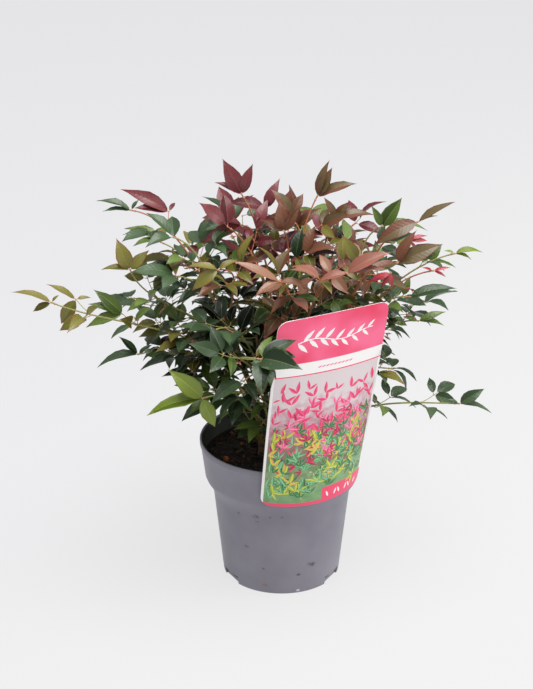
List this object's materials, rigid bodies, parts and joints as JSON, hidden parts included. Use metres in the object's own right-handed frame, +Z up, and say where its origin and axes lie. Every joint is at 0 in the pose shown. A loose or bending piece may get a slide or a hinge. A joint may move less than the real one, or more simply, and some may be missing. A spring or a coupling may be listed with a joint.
{
  "type": "potted heavenly bamboo shrub",
  "caption": "Small heavenly bamboo shrub: slender canes and wide-reaching compound leaves in green, bronze and burgundy, in a round grey nursery pot with a care card hooked on its rim.",
  "frame": {"origin": "centre of the pot's flat underside, on the pot's axis", "axes": "+Z up along the pot's axis; -Y towards the front, where the care card hangs; +X to the right seen from the front, along the crown's widest reach"},
  "size_m": [0.4749, 0.3828, 0.4494],
  "materials": {
    "pot_plastic": "matte grey moulded polypropylene",
    "potting_soil": "damp dark peat and bark mix",
    "label_card": "thin printed plastic card with a satin sheen",
    "cane_bark": "thin brown bark",
    "leaf_dark": "waxy dark green leaf",
    "leaf_green": "waxy mid green leaf",
    "leaf_lime": "young yellow-green leaf",
    "leaf_olive": "olive leaf turning amber",
    "leaf_bronze": "bronze leaf",
    "leaf_burgundy": "burgundy leaf",
    "leaf_salmon": "salmon-bronze young leaf",
    "leaf_scarlet": "scarlet shoot leaf"
  },
  "bodies": {
    "root": {"pot": "pot_plastic", "soil": "potting_soil", "label": "label_card", "cane_centre": "cane_bark", "cane_left": "cane_bark", "cane_front_left": "cane_bark", "cane_front_right": "cane_bark", "cane_right": "cane_bark", "cane_back_right": "cane_bark", "cane_back_left": "cane_bark", "foliage_far_left": "leaf_green", "foliage_left_fork": "leaf_green", "foliage_left_low": "leaf_dark", "foliage_upper_left_red": "leaf_burgundy", "foliage_upper_left_green": "leaf_dark", "foliage_left_mid": "leaf_dark", "foliage_left_fan": "leaf_dark", "foliage_lime_trio": "leaf_lime", "foliage_low_left": "leaf_dark", "foliage_low_front": "leaf_green", "foliage_front_left": "leaf_dark", "foliage_front_grey": "leaf_dark", "foliage_front_centre": "leaf_dark", "foliage_low_centre": "leaf_dark", "foliage_left_lower": "leaf_dark", "foliage_amber": "leaf_olive", "foliage_front_salmon": "leaf_salmon", "foliage_top_red": "leaf_burgundy", "foliage_crown_red": "leaf_burgundy", "foliage_top_green": "leaf_dark", "foliage_top_bronze": "leaf_bronze", "foliage_top_round": "leaf_bronze", "foliage_top_right": "leaf_bronze", "foliage_top_right_low": "leaf_bronze", "foliage_back_right_red": "leaf_burgundy", "foliage_right_green": "leaf_dark", "foliage_far_bronze": "leaf_bronze", "foliage_right_olive": "leaf_salmon", "foliage_right_tip": "leaf_green", "foliage_young_red": "leaf_scarlet", "foliage_front_salmon_right": "leaf_salmon", "foliage_right_dark": "leaf_dark", "foliage_right_pale": "leaf_green", "foliage_right_fan": "leaf_dark", "foliage_right_long": "leaf_dark", "foliage_back_top_1": "leaf_burgundy", "foliage_back_top_2": "leaf_burgundy", "foliage_back_upper_1": "leaf_green", "foliage_back_upper_2": "leaf_green", "foliage_back_upper_3": "leaf_green", "foliage_back_upper_4": "leaf_green", "foliage_back_middle_1": "leaf_dark", "foliage_back_middle_2": "leaf_dark", "foliage_back_middle_3": "leaf_dark", "foliage_back_middle_4": "leaf_dark", "foliage_back_low_1": "leaf_dark", "foliage_back_low_2": "leaf_dark", "foliage_back_low_3": "leaf_dark", "foliage_back_low_4": "leaf_dark"}
  },
  "joints": []
}
